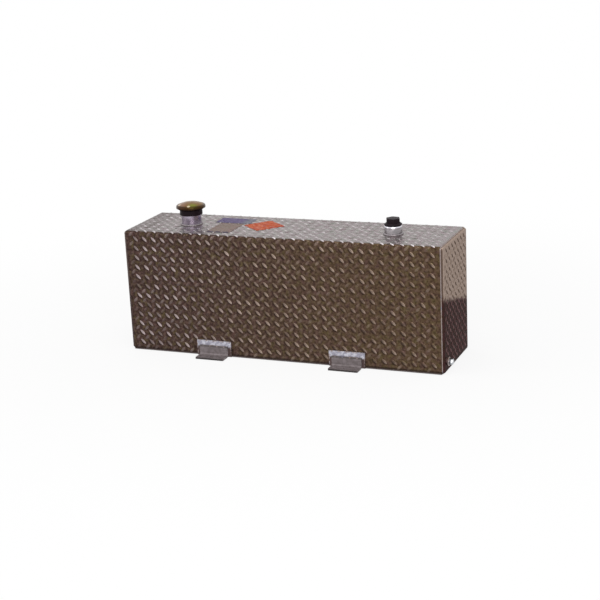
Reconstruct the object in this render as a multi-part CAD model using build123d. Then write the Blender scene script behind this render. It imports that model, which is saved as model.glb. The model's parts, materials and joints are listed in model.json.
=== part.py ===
from build123d import *
from math import ceil, cos, floor, radians, sin
import os

# A truck bed transfer tank: a rectangular fuel tank welded from tread plate,
# with a capped filler neck, a plugged pump port, a drain and four bolt-down feet.
# Millimetres. X runs along the tank, -Y is the front, +Z is up. The origin is
# the middle of the bottom face.

# Tank body
tank_length = 1219.2
tank_depth = 304.8
tank_height = 457.2
sheet = 3.0
wrapper_bend = 6.0
pan_reveal = 10.0
pan_flange = 28.0
pan_bend = 2.5
pan_corner_ease = 3.0
end_weld_leg = 3.5
seam_groove = 2.0
sheet_gap = 0.25

# Raised lugs of the tread plate: one family leans one way on a lattice, and the other leans
# the other way at the middles of its cells. They stand on the front and the two ends, and the
# top and the back are left as plain sheet.
lug_length = 26.0
lug_width = 8.0
lug_height = 1.2
lug_root = 0.4
lug_lean = 45.0
lug_clearance = 1.5
front_lug_spacing = (36.6, 36.0)
front_lug_place = (-12.5, 248.6)
end_lug_spacing = (36.6, 37.0)
end_lug_place = (2.5, 361.2)

# Baffles, bent from plain sheet, that stop the fuel surging
baffle_sheet = 2.5
baffle_place = 203.0
baffle_flange = 20.0
baffle_bend = 2.5
baffle_corner = 48.0
baffle_hole_radius = 40.0

# Filler neck, with a turned-in rim that the cap locks under
filler_x = -402.0
neck_radius = 36.5
neck_wall = 2.5
neck_height = 50.0
neck_tail = 12.0
rim_opening_radius = 26.0
notch_radius = 31.5
notch_width = 15.0
neck_weld_leg = 5.0

# Filler cap
cap_skirt_radius = 42.0
cap_skirt_overlap = 13.5
cap_skirt_clearance = 0.8
cap_web = 4.2
cap_cone_rise = 7.0
cap_wall = 3.0
cap_seat_rise = 3.0
cover_radius = 54.5
cover_sheet = 1.5
cover_lip = 9.0
cover_crown = 12.5
cover_edge_round = 2.0
cap_gasket_thickness = 2.5
stem_radius = 4.0
stem_head_radius = 12.0
stem_head_thickness = 2.0
stem_foot_radius = 7.0
lock_plate_thickness = 2.5
lock_clearance = 1.0
spring_radius = 9.0
spring_wire = 1.8
spring_height = 9.5
spring_turns = 3
valve_offset = 20.0
valve_radius = 3.5
valve_head = 5.5
valve_length = 9.0

# Pump port and its plug
pump_x = 386.0
coupling_radius = 31.0
coupling_bore_radius = 23.0
coupling_height = 31.0
coupling_tail = 12.0
coupling_chamfer = 1.5
coupling_weld_leg = 5.0
plug_gasket_thickness = 1.5
plug_gasket_margin = 1.0
plug_flange_radius = 32.0
plug_flange_thickness = 3.5
plug_shoulder_radius = 25.5
plug_shoulder_rise = 4.5
plug_hex_flats = 46.0
plug_hex_height = 16.0
plug_hex_turn = -7.5
plug_hex_chamfer = 1.5
plug_spigot_length = 22.0
plug_wall = 3.5
plug_thread_clearance = 0.4

# Drain in the right end pan
drain_y = -101.0
drain_z = 34.0
bung_radius = 13.0
bung_bore_radius = 8.0
bung_reach = 6.0
bung_tail = 10.0
bung_weld_leg = 3.0
drain_washer_thickness = 1.5
drain_washer_margin = 0.5
drain_hex_flats = 19.0
drain_hex_height = 9.5
drain_hex_chamfer = 1.0
drain_spigot_length = 14.0
drain_thread_clearance = 0.3

# Mounting feet: a doubler pad on the tank, and an angle bracket welded to it
bracket_left_x = -268.0
bracket_right_x = 251.0
pad_width = 136.0
pad_height = 58.0
pad_thickness = 3.0
pad_weld_leg = 5.0
bracket_width = 112.0
bracket_height = 40.0
bracket_thickness = 6.0
bracket_reach = 52.0
bracket_bend = 6.0
bracket_corner = 4.0
bracket_weld_leg = 8.0
foot_hole_radius = 5.5

# Plain labels on the top sheet
label_thickness = 0.4
blue_label_size = (140.0, 70.0)
blue_label_place = (-250.0, 69.0)
tan_label_size = (92.0, 138.0)
tan_label_place = (-248.0, -42.0)
orange_label_side = 112.0
orange_label_place = (-117.0, 18.0)
orange_label_turn = 50.0

# Clearance between pieces that turn or lift against each other
slip = 0.3


def cross_section(depth, low, high, top_radius, low_radius=0.0):
    """A rectangle across the tank, in the YZ plane, with rounded corners."""
    face = Pos(0, (low + high) / 2) * Rectangle(depth, high - low)
    face = fillet(face.vertices().group_by(Axis.Y)[-1], top_radius)
    if low_radius:
        face = fillet(face.vertices().group_by(Axis.Y)[0], low_radius)
    return Plane.YZ * face


def prism(points, start, length):
    """A straight bar along X with the given outline in the YZ plane."""
    outline = make_face(Polyline(*points, close=True))
    return Pos(start, 0, 0) * extrude(Plane.YZ * outline, length)


def turned(points):
    """A solid of revolution about Z from radius and height points."""
    return revolve(Plane.XZ * make_face(Polyline(*points, close=True)), Axis.Z)


def ring(inner, outer, low, high):
    """A flat round ring, standing from low to high."""
    body = Cylinder(outer, high - low) - Cylinder(inner, high - low)
    return Pos(0, 0, (low + high) / 2) * body


def fillet_weld(radius, leg):
    """A ring of weld round a tube of this radius, lying on the plane below it."""
    inner = radius + sheet_gap
    return turned([(inner, 0), (inner + leg, 0), (inner, leg)])


# Lengths and places that follow from the sizes above
wrapper_length = tank_length - 2 * pan_reveal
wrapper_end = wrapper_length / 2
pan_bend_outside = pan_bend + sheet
pan_corner = pan_bend_outside + pan_corner_ease
top_underside = tank_height - sheet
lug_room = lug_length / 2 * max(cos(radians(lug_lean)), sin(radians(lug_lean))) + lug_clearance
neck_rim_low = neck_height - neck_wall
lift_seat = neck_height + cap_gasket_thickness
web_low = lift_seat + slip
web_high = web_low + cap_web
cone_low = web_low + cap_web / 2
cone_high = cone_low + cap_cone_rise
cover_low = cone_high + sheet_gap
cover_rim = cover_low + cover_lip
seat_radius = cover_radius - cover_sheet - sheet_gap
skirt_low = neck_height - cap_skirt_overlap
skirt_inside = neck_radius + cap_skirt_clearance
lock_high = neck_rim_low - slip
lock_low = lock_high - lock_plate_thickness
filler_place = Pos(filler_x, 0, tank_height)
pump_place = Pos(pump_x, 0, tank_height)
plug_seat = coupling_height + plug_gasket_thickness + slip
spigot_radius = coupling_bore_radius - plug_thread_clearance
drain_place = Location((tank_length / 2, drain_y, drain_z), (0, 90, 0))
drain_seat = bung_reach + drain_washer_thickness + slip
drain_spigot_radius = bung_bore_radius - drain_thread_clearance


def tread_lug():
    """One raised lug: a low pyramid on a long rhombus, rooted a little below the sheet's face."""
    spread = 1 + lug_root / lug_height
    tip = spread * lug_length / 2
    side = spread * lug_width / 2
    rim = [(tip, 0, -lug_root), (0, side, -lug_root), (-tip, 0, -lug_root), (0, -side, -lug_root)]
    crown = (0, 0, lug_height)
    slopes = [Face(Wire.make_polygon([*pair, crown])) for pair in zip(rim, rim[1:] + rim[:1])]
    return Solid(Shell([Face(Wire.make_polygon(rim)), *slopes]))


def lattice(place, spacing, low, high):
    """The points of a lattice through one place that leave room to a face's four edges."""
    lines = []
    for axis in (0, 1):
        first = ceil((low[axis] + lug_room - place[axis]) / spacing[axis])
        last = floor((high[axis] - lug_room - place[axis]) / spacing[axis])
        lines.append([place[axis] + step * spacing[axis] for step in range(first, last + 1)])
    return [(along, up) for along in lines[0] for up in lines[1]]


def tread_lugs(plane, low, high, place, spacing, kept_clear):
    """Both families of lugs on a flat face, round the boxes that welded pieces take up."""
    lug = tread_lug()
    middle = (place[0] + spacing[0] / 2, place[1] + spacing[1] / 2)
    lugs = []
    for start, lean in ((place, -lug_lean), (middle, lug_lean)):
        for along, up in lattice(start, spacing, low, high):
            covered = [abs(along - x) < wide + lug_room and abs(up - y) < tall + lug_room
                       for x, y, wide, tall in kept_clear]
            if not any(covered):
                lugs.append(plane * Location((along, up, 0), (0, 0, lean)) * lug)
    return lugs


def front_lugs():
    """The lugs of the front sheet, from the seam to the long bend, round the feet's pads."""
    low = (-wrapper_end, sheet + seam_groove)
    high = (wrapper_end, tank_height - sheet - wrapper_bend)
    half_width = pad_width / 2 + pad_weld_leg
    half_height = pad_height / 2 + pad_weld_leg
    pads = [(x, pad_height / 2, half_width, half_height) for x in (bracket_left_x, bracket_right_x)]
    plane = Plane.XZ.offset(tank_depth / 2)
    return tread_lugs(plane, low, high, front_lug_place, front_lug_spacing, pads)


def end_lugs(kept_clear):
    """The lugs of the right end, inside the end pan's four bends."""
    edge = sheet + sheet_gap + pan_bend_outside
    low = (edge - tank_depth / 2, edge)
    high = (tank_depth / 2 - edge, tank_height - edge)
    plane = Plane.YZ.offset(tank_length / 2)
    return tread_lugs(plane, low, high, end_lug_place, end_lug_spacing, kept_clear)


def seam_weld():
    """The weld that fills the groove between the front sheet and the bottom plate."""
    front = -tank_depth / 2
    points = [(front, sheet), (front + seam_groove, sheet), (front, sheet + seam_groove)]
    return prism(points, -wrapper_end, wrapper_length)


def tread_wrapper():
    """Front, top and back, folded from one sheet of tread plate."""
    outside = cross_section(tank_depth, sheet, tank_height, wrapper_bend + sheet)
    inside = cross_section(tank_depth - 2 * sheet, 0, top_underside, wrapper_bend)
    body = extrude(outside - inside, wrapper_end, both=True)
    groove = seam_weld()
    body -= groove
    body -= mirror(groove, Plane.XZ)
    body -= filler_place * Cylinder(neck_radius + sheet_gap, 4 * sheet)
    body -= pump_place * Cylinder(coupling_radius + sheet_gap, 4 * sheet)
    return body + front_lugs()


def bottom_plate():
    """The plain bottom sheet that the wrapper stands on."""
    return Pos(0, 0, sheet / 2) * Box(wrapper_length, tank_depth, sheet)


def pan_block(inset):
    """The end pan's outside form at the right end, drawn in by an inset."""
    side = sheet + sheet_gap + inset
    outline = cross_section(
        tank_depth - 2 * side, side, tank_height - side, pan_corner - inset, pan_corner - inset
    )
    start = tank_length / 2 - pan_flange
    block = Pos(start, 0, 0) * extrude(outline, pan_flange - inset)
    rim = block.faces().sort_by(Axis.X)[-1].edges()
    return fillet(rim, pan_bend_outside - inset)


def end_pan():
    """The right end: a sheet with all four edges bent inwards, set into the wrapper."""
    return pan_block(0) - pan_block(sheet)


def end_weld():
    """The lap weld between the wrapper's edge and the right end pan."""
    outside = cross_section(tank_depth, 0, tank_height, wrapper_bend + sheet)
    inside = cross_section(
        tank_depth - 2 * sheet, sheet, top_underside, pan_corner + sheet_gap, pan_corner + sheet_gap
    )
    bead = Pos(wrapper_end, 0, 0) * extrude(outside - inside, end_weld_leg)
    edges = bead.faces().sort_by(Axis.X)[-1].outer_wire().edges()
    return chamfer(edges, 0.8 * min(sheet, end_weld_leg))


def baffle():
    """The right baffle: a plate with cut corners, a flow hole and two bent flanges."""
    low = sheet + sheet_gap
    high = top_underside - sheet_gap
    depth = tank_depth - 2 * (sheet + sheet_gap)
    bend_outside = baffle_bend + baffle_sheet
    middle = (low + high) / 2
    plate = Pos(0, middle) * Rectangle(depth - 2 * bend_outside, high - low)
    plate = chamfer(plate.vertices(), baffle_corner - bend_outside)
    plate -= Pos(0, middle) * Circle(baffle_hole_radius)
    plate = extrude(Plane.YZ * plate, baffle_sheet)
    channel = Pos(baffle_flange / 2, 0) * Rectangle(baffle_flange, depth)
    channel = fillet(channel.vertices().group_by(Axis.X)[0], bend_outside)
    hollow_width = depth - 2 * baffle_sheet
    hollow = Pos(baffle_sheet + baffle_flange / 2, 0) * Rectangle(baffle_flange, hollow_width)
    hollow = fillet(hollow.vertices().group_by(Axis.X)[0], baffle_bend)
    flanges = extrude(channel - hollow, high - low - 2 * baffle_corner)
    flanges = Pos(0, 0, low + baffle_corner) * flanges
    flanges -= Pos(0, 0, middle) * Box(2 * baffle_flange, depth - 2 * bend_outside, high)
    return Pos(baffle_place, 0, 0) * (plate + flanges)


def filler_neck():
    """A tube with a turned-in rim, and two notches that let the cap's ears through."""
    low = -sheet - neck_tail
    tube = ring(neck_radius - neck_wall, neck_radius, low, neck_height)
    rim = ring(rim_opening_radius, neck_radius - neck_wall / 2, neck_rim_low, neck_height)
    notch = Box(2 * notch_radius, notch_width, 4 * neck_wall)
    notch = notch & Cylinder(notch_radius, 4 * neck_wall)
    neck = tube + (rim - Pos(0, 0, neck_height) * notch)
    return filler_place * neck


def cap_body():
    """The cap's black moulding: skirt, web and a cone that carries the cover."""
    points = [
        (stem_radius + slip, web_low),
        (skirt_inside, web_low),
        (skirt_inside, skirt_low),
        (cap_skirt_radius, skirt_low),
        (cap_skirt_radius, cone_low),
        (cover_radius - slip, cone_high),
        (seat_radius, cone_high),
        (seat_radius, cone_high + cap_seat_rise),
        (seat_radius - cap_wall, cone_high + cap_seat_rise),
        (cap_skirt_radius - cap_wall, web_high),
        (stem_radius + slip, web_high),
    ]
    body = turned(points)
    return body - Pos(valve_offset, 0, web_low) * Cylinder(valve_radius + sheet_gap, 4 * cap_web)


def cover_form(inset):
    """The cover's outside, drawn in by an inset: a short lip under a low dome."""
    radius = cover_radius - inset
    rim = cover_rim - inset
    crown = rim + cover_crown
    dome = TangentArc((0, crown), (radius, rim), tangent=(1, 0))
    sides = Polyline((radius, rim), (radius, cover_low), (0, cover_low), (0, crown))
    profile = make_face(dome + sides)
    corner = profile.vertices().sort_by_distance((radius, rim, 0))[0]
    return revolve(Plane.XZ * fillet(corner, cover_edge_round), Axis.Z)


def cap_cover():
    """The pressed and plated cover on top of the cap."""
    return cover_form(0) - cover_form(cover_sheet)


def cap_stem():
    """The rivet that ties the locking plate to the spring."""
    shank_low = lock_low - stem_head_thickness
    shank_high = web_high + spring_height
    shank = rod(stem_radius, shank_low, shank_high)
    foot = rod(stem_foot_radius, shank_low, lock_low)
    head = rod(stem_head_radius, shank_high, shank_high + stem_head_thickness)
    return shank + foot + head


def rod(radius, low, high):
    """A plain round rod on the Z axis, from low to high."""
    return Pos(0, 0, (low + high) / 2) * Cylinder(radius, high - low)


def lock_plate():
    """The plate whose two ears turn under the neck's rim."""
    disc = Cylinder(rim_opening_radius - lock_clearance, lock_plate_thickness)
    ears = Box(2 * notch_radius, notch_width - 2 * lock_clearance, lock_plate_thickness)
    ears = ears & Cylinder(notch_radius - lock_clearance, lock_plate_thickness)
    plate = disc + ears - Cylinder(stem_radius + sheet_gap, 2 * lock_plate_thickness)
    return Pos(0, 0, (lock_low + lock_high) / 2) * plate


def cap_spring():
    """The coil spring that draws the locking plate up."""
    rise = spring_height - spring_wire - 2 * sheet_gap
    coil = Helix(rise / spring_turns, rise, spring_radius)
    section = Plane(coil @ 0, z_dir=coil % 0) * Circle(spring_wire / 2)
    return Pos(0, 0, web_high + spring_wire / 2 + sheet_gap) * sweep(section, coil)


def vent_valve():
    """The small vent valve that stands in the cap's web."""
    body = rod(valve_radius, web_high - valve_length, web_high)
    head = rod(valve_head, web_high, web_high + cover_sheet)
    return Pos(valve_offset, 0, 0) * (body + head)


def pump_coupling():
    """The threaded port that a pump screws into, drawn at its thread's inside."""
    body = ring(coupling_bore_radius, coupling_radius, -sheet - coupling_tail, coupling_height)
    edges = body.faces().sort_by(Axis.Z)[-1].edges()
    return pump_place * chamfer(edges, coupling_chamfer)


def pump_plug():
    """The moulded plug: hexagon, shoulder, flange and hollow spigot."""
    low = plug_seat - plug_spigot_length
    flange_high = plug_seat + plug_flange_thickness
    hex_low = flange_high + plug_shoulder_rise
    points = [
        (0, low),
        (spigot_radius, low),
        (spigot_radius, plug_seat),
        (plug_flange_radius, plug_seat),
        (plug_flange_radius, flange_high),
        (plug_shoulder_radius, hex_low),
        (0, hex_low),
    ]
    head = extrude(RegularPolygon(plug_hex_flats / 2, 6, major_radius=False), plug_hex_height)
    head = chamfer(head.faces().sort_by(Axis.Z)[-1].edges(), plug_hex_chamfer)
    head = Location((0, 0, hex_low), (0, 0, plug_hex_turn)) * head
    hollow = rod(spigot_radius - plug_wall, low, flange_high)
    return pump_place * (turned(points) + head - hollow)


def drain_plug():
    """The drain's hexagon plug, pointing up before it is laid over to the end pan."""
    low = drain_seat - drain_spigot_length
    head = extrude(RegularPolygon(drain_hex_flats / 2, 6, major_radius=False), drain_hex_height)
    head = chamfer(head.faces().sort_by(Axis.Z)[-1].edges(), drain_hex_chamfer)
    plug = Pos(0, 0, drain_seat) * head + rod(drain_spigot_radius, low, drain_seat)
    return drain_place * plug


def foot_pad():
    """The doubler plate on the tank's side, with the tank's face at y = 0."""
    return Pos(0, -pad_thickness / 2, pad_height / 2) * Box(pad_width, pad_thickness, pad_height)


def foot_pad_weld():
    """The weld along the pad's sides and top."""
    wide = pad_width + 2 * pad_weld_leg
    high = pad_height + pad_weld_leg
    bead = Pos(0, -pad_thickness / 2, high / 2) * Box(wide, pad_thickness, high)
    edges = bead.faces().sort_by(Axis.Y)[0].edges().sort_by(Axis.Z)[1:]
    bead = chamfer(edges, 0.8 * min(pad_thickness, pad_weld_leg))
    return bead - foot_pad()


def foot_bracket():
    """An angle with its upright against the pad and its foot pointing outwards."""
    back = -pad_thickness
    tip = -bracket_reach
    upright = Pos(back - bracket_thickness / 2, bracket_height / 2)
    upright = upright * Rectangle(bracket_thickness, bracket_height)
    foot = Pos((back + tip) / 2, bracket_thickness / 2)
    foot = foot * Rectangle(back - tip, bracket_thickness)
    angle = upright + foot
    inner = angle.vertices().sort_by_distance((back - bracket_thickness, bracket_thickness, 0))[0]
    angle = fillet(inner, bracket_bend)
    outer = angle.vertices().sort_by_distance((back, 0, 0))[0]
    angle = fillet(outer, bracket_bend + bracket_thickness)
    body = Pos(-bracket_width / 2, 0, 0) * extrude(Plane.YZ * angle, bracket_width)
    tips = body.faces().sort_by(Axis.Y)[0].edges().filter_by(Axis.Z)
    body = fillet(tips, bracket_corner)
    return body - Pos(0, foot_hole_y(), 0) * Cylinder(foot_hole_radius, 4 * bracket_thickness)


def foot_hole_y():
    """The bolt hole's place, in the middle of the foot's flat."""
    bend_line = -pad_thickness - bracket_thickness - bracket_bend
    return (bend_line - bracket_reach) / 2


def foot_bracket_weld():
    """The weld along the top of the bracket's upright."""
    back = -pad_thickness
    points = [
        (back, bracket_height),
        (back - bracket_thickness, bracket_height),
        (back, bracket_height + bracket_weld_leg),
    ]
    return prism(points, -bracket_width / 2, bracket_width)


def label(size, place, turn=0.0):
    """A thin label lying on the top sheet."""
    body = Box(*size, label_thickness)
    return Location((*place, tank_height + label_thickness / 2), (0, 0, turn)) * body


nodes = {
    "tread_wrapper": tread_wrapper(),
    "bottom_plate": bottom_plate(),
    "bottom_weld_front": seam_weld(),
    "bottom_weld_back": mirror(seam_weld(), Plane.XZ),
    "filler_neck": filler_neck(),
    "filler_neck_weld": filler_place * fillet_weld(neck_radius, neck_weld_leg),
    "cap_gasket": filler_place * ring(notch_radius + slip, neck_radius, neck_height, lift_seat),
    "cap_body": filler_place * cap_body(),
    "cap_cover": filler_place * cap_cover(),
    "cap_stem": filler_place * cap_stem(),
    "cap_spring": filler_place * cap_spring(),
    "cap_lock_plate": filler_place * lock_plate(),
    "cap_vent_valve": filler_place * vent_valve(),
    "pump_coupling": pump_coupling(),
    "pump_coupling_weld": pump_place * fillet_weld(coupling_radius, coupling_weld_leg),
    "pump_plug_gasket": pump_place * ring(
        spigot_radius + plug_gasket_margin,
        coupling_radius - plug_gasket_margin,
        coupling_height,
        coupling_height + plug_gasket_thickness,
    ),
    "pump_plug": pump_plug(),
    "drain_bung": drain_place * ring(bung_bore_radius, bung_radius, -sheet - bung_tail, bung_reach),
    "drain_bung_weld": drain_place * fillet_weld(bung_radius, bung_weld_leg),
    "drain_washer": drain_place * ring(
        drain_spigot_radius + drain_washer_margin,
        bung_radius - drain_washer_margin,
        bung_reach,
        bung_reach + drain_washer_thickness,
    ),
    "drain_plug": drain_plug(),
    "label_blue": label(blue_label_size, blue_label_place),
    "label_tan": label(tan_label_size, tan_label_place),
    "label_orange": label(
        (orange_label_side, orange_label_side), orange_label_place, orange_label_turn
    ),
}

# The two ends and the two baffles are the same piece turned about
right_pan = end_pan()
drain_hole = drain_place * Cylinder(bung_radius + sheet_gap, 4 * sheet)
drain_reach = bung_radius + sheet_gap + bung_weld_leg
drain_box = (drain_y, drain_z, drain_reach, drain_reach)
nodes["end_pan_right"] = right_pan - drain_hole + end_lugs([drain_box])
nodes["end_pan_left"] = mirror(right_pan + end_lugs([]), Plane.YZ)
nodes["end_weld_right"] = end_weld()
nodes["end_weld_left"] = mirror(end_weld(), Plane.YZ)
nodes["baffle_right"] = baffle()
nodes["baffle_left"] = mirror(baffle(), Plane.YZ)

# Four feet, two at the front and two turned about at the back
foot_pieces = {
    "pad": foot_pad(),
    "pad_weld": foot_pad_weld(),
    "bracket": foot_bracket(),
    "bracket_weld": foot_bracket_weld(),
}
for side, y, turn in (("front", -tank_depth / 2, 0), ("back", tank_depth / 2, 180)):
    for end, x in (("left", bracket_left_x), ("right", bracket_right_x)):
        place = Location((x, y, 0), (0, 0, turn))
        for piece, shape in foot_pieces.items():
            nodes[f"{piece}_{side}_{end}"] = place * shape

os.makedirs("parts", exist_ok=True)
for name, shape in nodes.items():
    export_step(shape, f"parts/{name}.step")
print(f"{len(nodes)} pieces, foot hole {foot_hole_y():.2f} from the tank's side")
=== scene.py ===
import json
import math

import bmesh
import bpy
import numpy as np
from mathutils import Matrix, Vector


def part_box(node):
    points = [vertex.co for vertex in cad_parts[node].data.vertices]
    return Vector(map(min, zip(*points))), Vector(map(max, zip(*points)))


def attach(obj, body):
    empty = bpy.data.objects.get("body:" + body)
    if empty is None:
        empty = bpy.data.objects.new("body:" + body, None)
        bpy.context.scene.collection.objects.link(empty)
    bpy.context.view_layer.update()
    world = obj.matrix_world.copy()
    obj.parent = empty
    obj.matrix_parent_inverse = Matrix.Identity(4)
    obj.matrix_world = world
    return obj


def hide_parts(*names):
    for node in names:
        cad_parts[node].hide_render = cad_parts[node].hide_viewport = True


# A tread plate transfer tank. Metres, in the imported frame: X runs along the tank,
# -Y is the front, +Z is up, and the origin is the middle of the bottom face.

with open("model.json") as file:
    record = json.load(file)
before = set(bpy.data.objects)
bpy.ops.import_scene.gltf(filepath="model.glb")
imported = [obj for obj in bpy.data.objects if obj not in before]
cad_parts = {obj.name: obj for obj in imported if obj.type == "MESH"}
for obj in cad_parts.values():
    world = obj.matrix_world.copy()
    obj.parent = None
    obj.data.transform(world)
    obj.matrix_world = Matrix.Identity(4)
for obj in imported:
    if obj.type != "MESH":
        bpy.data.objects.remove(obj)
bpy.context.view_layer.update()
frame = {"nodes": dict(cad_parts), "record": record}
cadNodes = frame["nodes"]
slotOf = {row["node"]: row["material_slot"] for row in frame["record"]["subparts"]}
print("frame loaded,", len(cadNodes), "CAD nodes")


def boxSize(name):
    low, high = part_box(name)
    return high - low


def boxCentre(name):
    low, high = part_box(name)
    return (low + high) / 2


# Sizes that several pieces share

tank = {
    "depth": boxSize("bottom_plate").y,
    "height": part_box("tread_wrapper")[1].z,
    "sheet": boxSize("bottom_plate").z,
    "wrapperEnd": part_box("bottom_plate")[1].x,
    "endReveal": 0.010,   # how far the end pans stand out of the wrapper
    "bend": 0.009,        # outside radius of the wrapper's two long bends
    # what changes along the tank is the sheet's painted reflection and the lugs' painted highlight
    "fade": 0.6,          # a tone that changes along the tank does so from -fade to fade
}
tank["face"] = tank["depth"] / 2
tank["end"] = tank["wrapperEnd"] + tank["endReveal"]

lug = {
    "pitch": (0.0366, 0.0360), "start": (-0.0125, 0.2486),        # on the folded sheet
    "endPitch": (0.0366, 0.0370), "endStart": (0.0025, 0.3612),   # on the two ends
    "length": 0.0276, "width": 0.0102, "height": 0.0015, "sink": 0.0003, "lean": 45.0,
    "edgeRoom": 0.0105, "endMargin": 0.00875, "seed": 7,
    "clearNeck": 0.051, "clearPort": 0.046, "clearDrain": 0.0265,
}


def onTop(name):
    # the point of the top sheet under a fitting's middle
    middle = boxCentre(name)
    return (middle.x, middle.y, tank["height"])


fillerPlace = onTop("filler_neck")
pumpPlace = onTop("pump_coupling")
drainPlace = (tank["end"], boxCentre("drain_bung_weld").y, boxCentre("drain_bung_weld").z)


# Mesh helpers

def addObject(name, data):
    made = bpy.data.objects.new(name, data)
    bpy.context.scene.collection.objects.link(made)
    return made


def makePiece(name, points, faces, slot, body="root", replaced=()):
    # faces is a list of index arrays, each with its own number of corners
    mesh = bpy.data.meshes.new(name)
    corners = [face for block in faces for face in np.asarray(block).tolist()]
    mesh.from_pydata(np.asarray(points, float).tolist(), [], corners)
    mesh.validate()
    mesh.polygons.foreach_set("use_smooth", [True] * len(mesh.polygons))
    mesh.materials.append(finishes[slot])
    piece = addObject(name, mesh)
    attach(piece, body)
    if replaced:
        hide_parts(*replaced)
    return piece


def gridFaces(rows, columns, closedRows=False, closedColumns=False):
    # quads of a grid of points: each joins a point to the next in its row and in its column
    r = np.arange(rows if closedRows else rows - 1)
    c = np.arange(columns if closedColumns else columns - 1)
    r, c = (a.ravel() for a in np.meshgrid(r, c, indexing="ij"))
    nextRow = (r + 1) % rows
    nextColumn = (c + 1) % columns
    quads = [r * columns + c, r * columns + nextColumn]
    quads += [nextRow * columns + nextColumn, nextRow * columns + c]
    return np.stack(quads, -1)


def roundCorners(corners, radius, steps):
    # each corner c of a closed outline becomes the curve (1-t)^2 a + 2t(1-t) c + t^2 b,
    # where a and b lie on its two sides, a radius away or less on a short side
    corners = np.asarray(corners, float)
    before = np.roll(corners, 1, 0) - corners
    after = np.roll(corners, -1, 0) - corners
    lengthBefore = np.linalg.norm(before, axis=1, keepdims=True)
    lengthAfter = np.linalg.norm(after, axis=1, keepdims=True)
    setback = np.minimum(radius, 0.45 * np.minimum(lengthBefore, lengthAfter))
    a = corners + before / lengthBefore * setback
    b = corners + after / lengthAfter * setback
    t = np.linspace(0, 1, steps)[None, :, None]
    curve = (1 - t) ** 2 * a[:, None] + 2 * t * (1 - t) * corners[:, None] + t ** 2 * b[:, None]
    return curve.reshape(-1, corners.shape[1])


def turnedPiece(name, outline, place, slot, axis="Z", columns=96, thread=None, hexagon=None,
                crisp=None, **kept):
    # a closed outline of (radius, height) turned about an axis. Where it has the thread's radius,
    # between low and high, it drops by depth * |2 frac(height / pitch - angle / turn) - 1|. On
    # rows between the hexagon's low and high it is multiplied by the polar radius of a rounded
    # hexagon, 1 / (sum over three normals of |cos|^p)^(1/p). Edges above crisp degrees stay sharp.
    outline = np.asarray(outline, float)
    angle = np.linspace(0, 2 * math.pi, columns, endpoint=False)[None, :]
    radius = np.repeat(outline[:, :1], columns, 1)
    height = np.repeat(outline[:, 1:], columns, 1)
    if thread:
        threaded, low, high, pitch, depth = thread
        wave = np.abs(2 * ((height / pitch - angle / (2 * math.pi)) % 1) - 1)
        fade = np.clip((height - low) / pitch, 0, 1) * np.clip((high - height) / pitch, 0, 1)
        radius = radius - depth * wave * fade * (np.abs(radius - threaded) < 1e-5)
    if hexagon:
        low, high, turn, power = hexagon
        normals = np.radians(turn + np.array([0, 60, 120]))[:, None]
        polar = np.sum(np.abs(np.cos(angle - normals)) ** power, 0) ** (-1 / power)
        radius = np.where((height > low) & (height < high), radius * polar, radius)
    points = np.stack([radius * np.cos(angle), radius * np.sin(angle), height], -1).reshape(-1, 3)
    if axis == "X":
        points = points[:, [2, 1, 0]] * [1, 1, -1]
    faces = [gridFaces(len(outline), columns, True, True)]
    piece = makePiece(name, points + np.asarray(place), faces, slot, **kept)
    tidyShell(piece)
    if crisp:
        piece.data.set_sharp_from_angle(angle=math.radians(crisp))


def tidyShell(piece):
    # closes the poles and seams by merging what lies together, then points every face outwards
    shell = bmesh.new()
    shell.from_mesh(piece.data)
    bmesh.ops.remove_doubles(shell, verts=shell.verts, dist=1e-7)
    loose = [edge for edge in shell.edges if not edge.link_faces]
    bmesh.ops.delete(shell, geom=loose, context="EDGES")
    bmesh.ops.recalc_face_normals(shell, faces=shell.faces)
    shell.to_mesh(piece.data)
    shell.free()


# Material helpers

def addNode(tree, kind, inputs=None, **settings):
    made = tree.nodes.new("ShaderNode" + kind)
    for key, value in settings.items():
        setattr(made, key, value)
    for key, value in (inputs or {}).items():
        if isinstance(value, bpy.types.NodeSocket):
            tree.links.new(value, made.inputs[key])
        else:
            made.inputs[key].default_value = value
    return made


def colourMix(tree, share, first, second):
    return addNode(tree, "Mix", {0: share, 6: first, 7: second}, data_type="RGBA").outputs[2]


def maths(tree, operation, first, second=0.0):
    return addNode(tree, "Math", {0: first, 1: second}, operation=operation).outputs[0]


def rise(tree, value, low, high, start=0.0, end=1.0):
    # a smooth step: start below low, end above high
    inputs = {"Value": value, "From Min": low, "From Max": high, "To Min": start, "To Max": end}
    return addNode(tree, "MapRange", inputs, interpolation_type="SMOOTHSTEP").outputs[0]


def noise(tree, vector, scale, detail=2.0, roughness=0.5):
    inputs = {"Vector": vector, "Scale": scale, "Detail": detail, "Roughness": roughness}
    return addNode(tree, "TexNoise", inputs).outputs[0]


def wandering(tree, value, unrest, amount):
    # a value moved to and fro by noise
    moved = maths(tree, "MULTIPLY", maths(tree, "SUBTRACT", unrest, 0.5), amount)
    return maths(tree, "ADD", value, moved)


def layered(tree, colour, *layers):
    # each layer says what it follows, where it starts and is full, how much shows, and its colour
    for value, start, full, amount, shade in layers:
        colour = colourMix(tree, rise(tree, value, start, full, 0.0, amount), colour, shade)
    return colour


def bandMask(tree, value, low, high, blur):
    # 1 between two limits, with soft edges
    risen = rise(tree, value, low - blur, low + blur)
    return maths(tree, "MULTIPLY", risen, rise(tree, value, high + blur, high - blur))


def linear(red, green, blue):
    # a colour seen on a screen, 0 to 255, as the shader's own light values
    seen = np.array([red, green, blue]) / 255
    light = np.where(seen <= 0.04045, seen / 12.92, ((seen + 0.055) / 1.055) ** 2.4)
    return (*[float(x) for x in light], 1.0)


def shades(**seen):
    return {name: linear(*colour) for name, colour in seen.items()}


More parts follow.
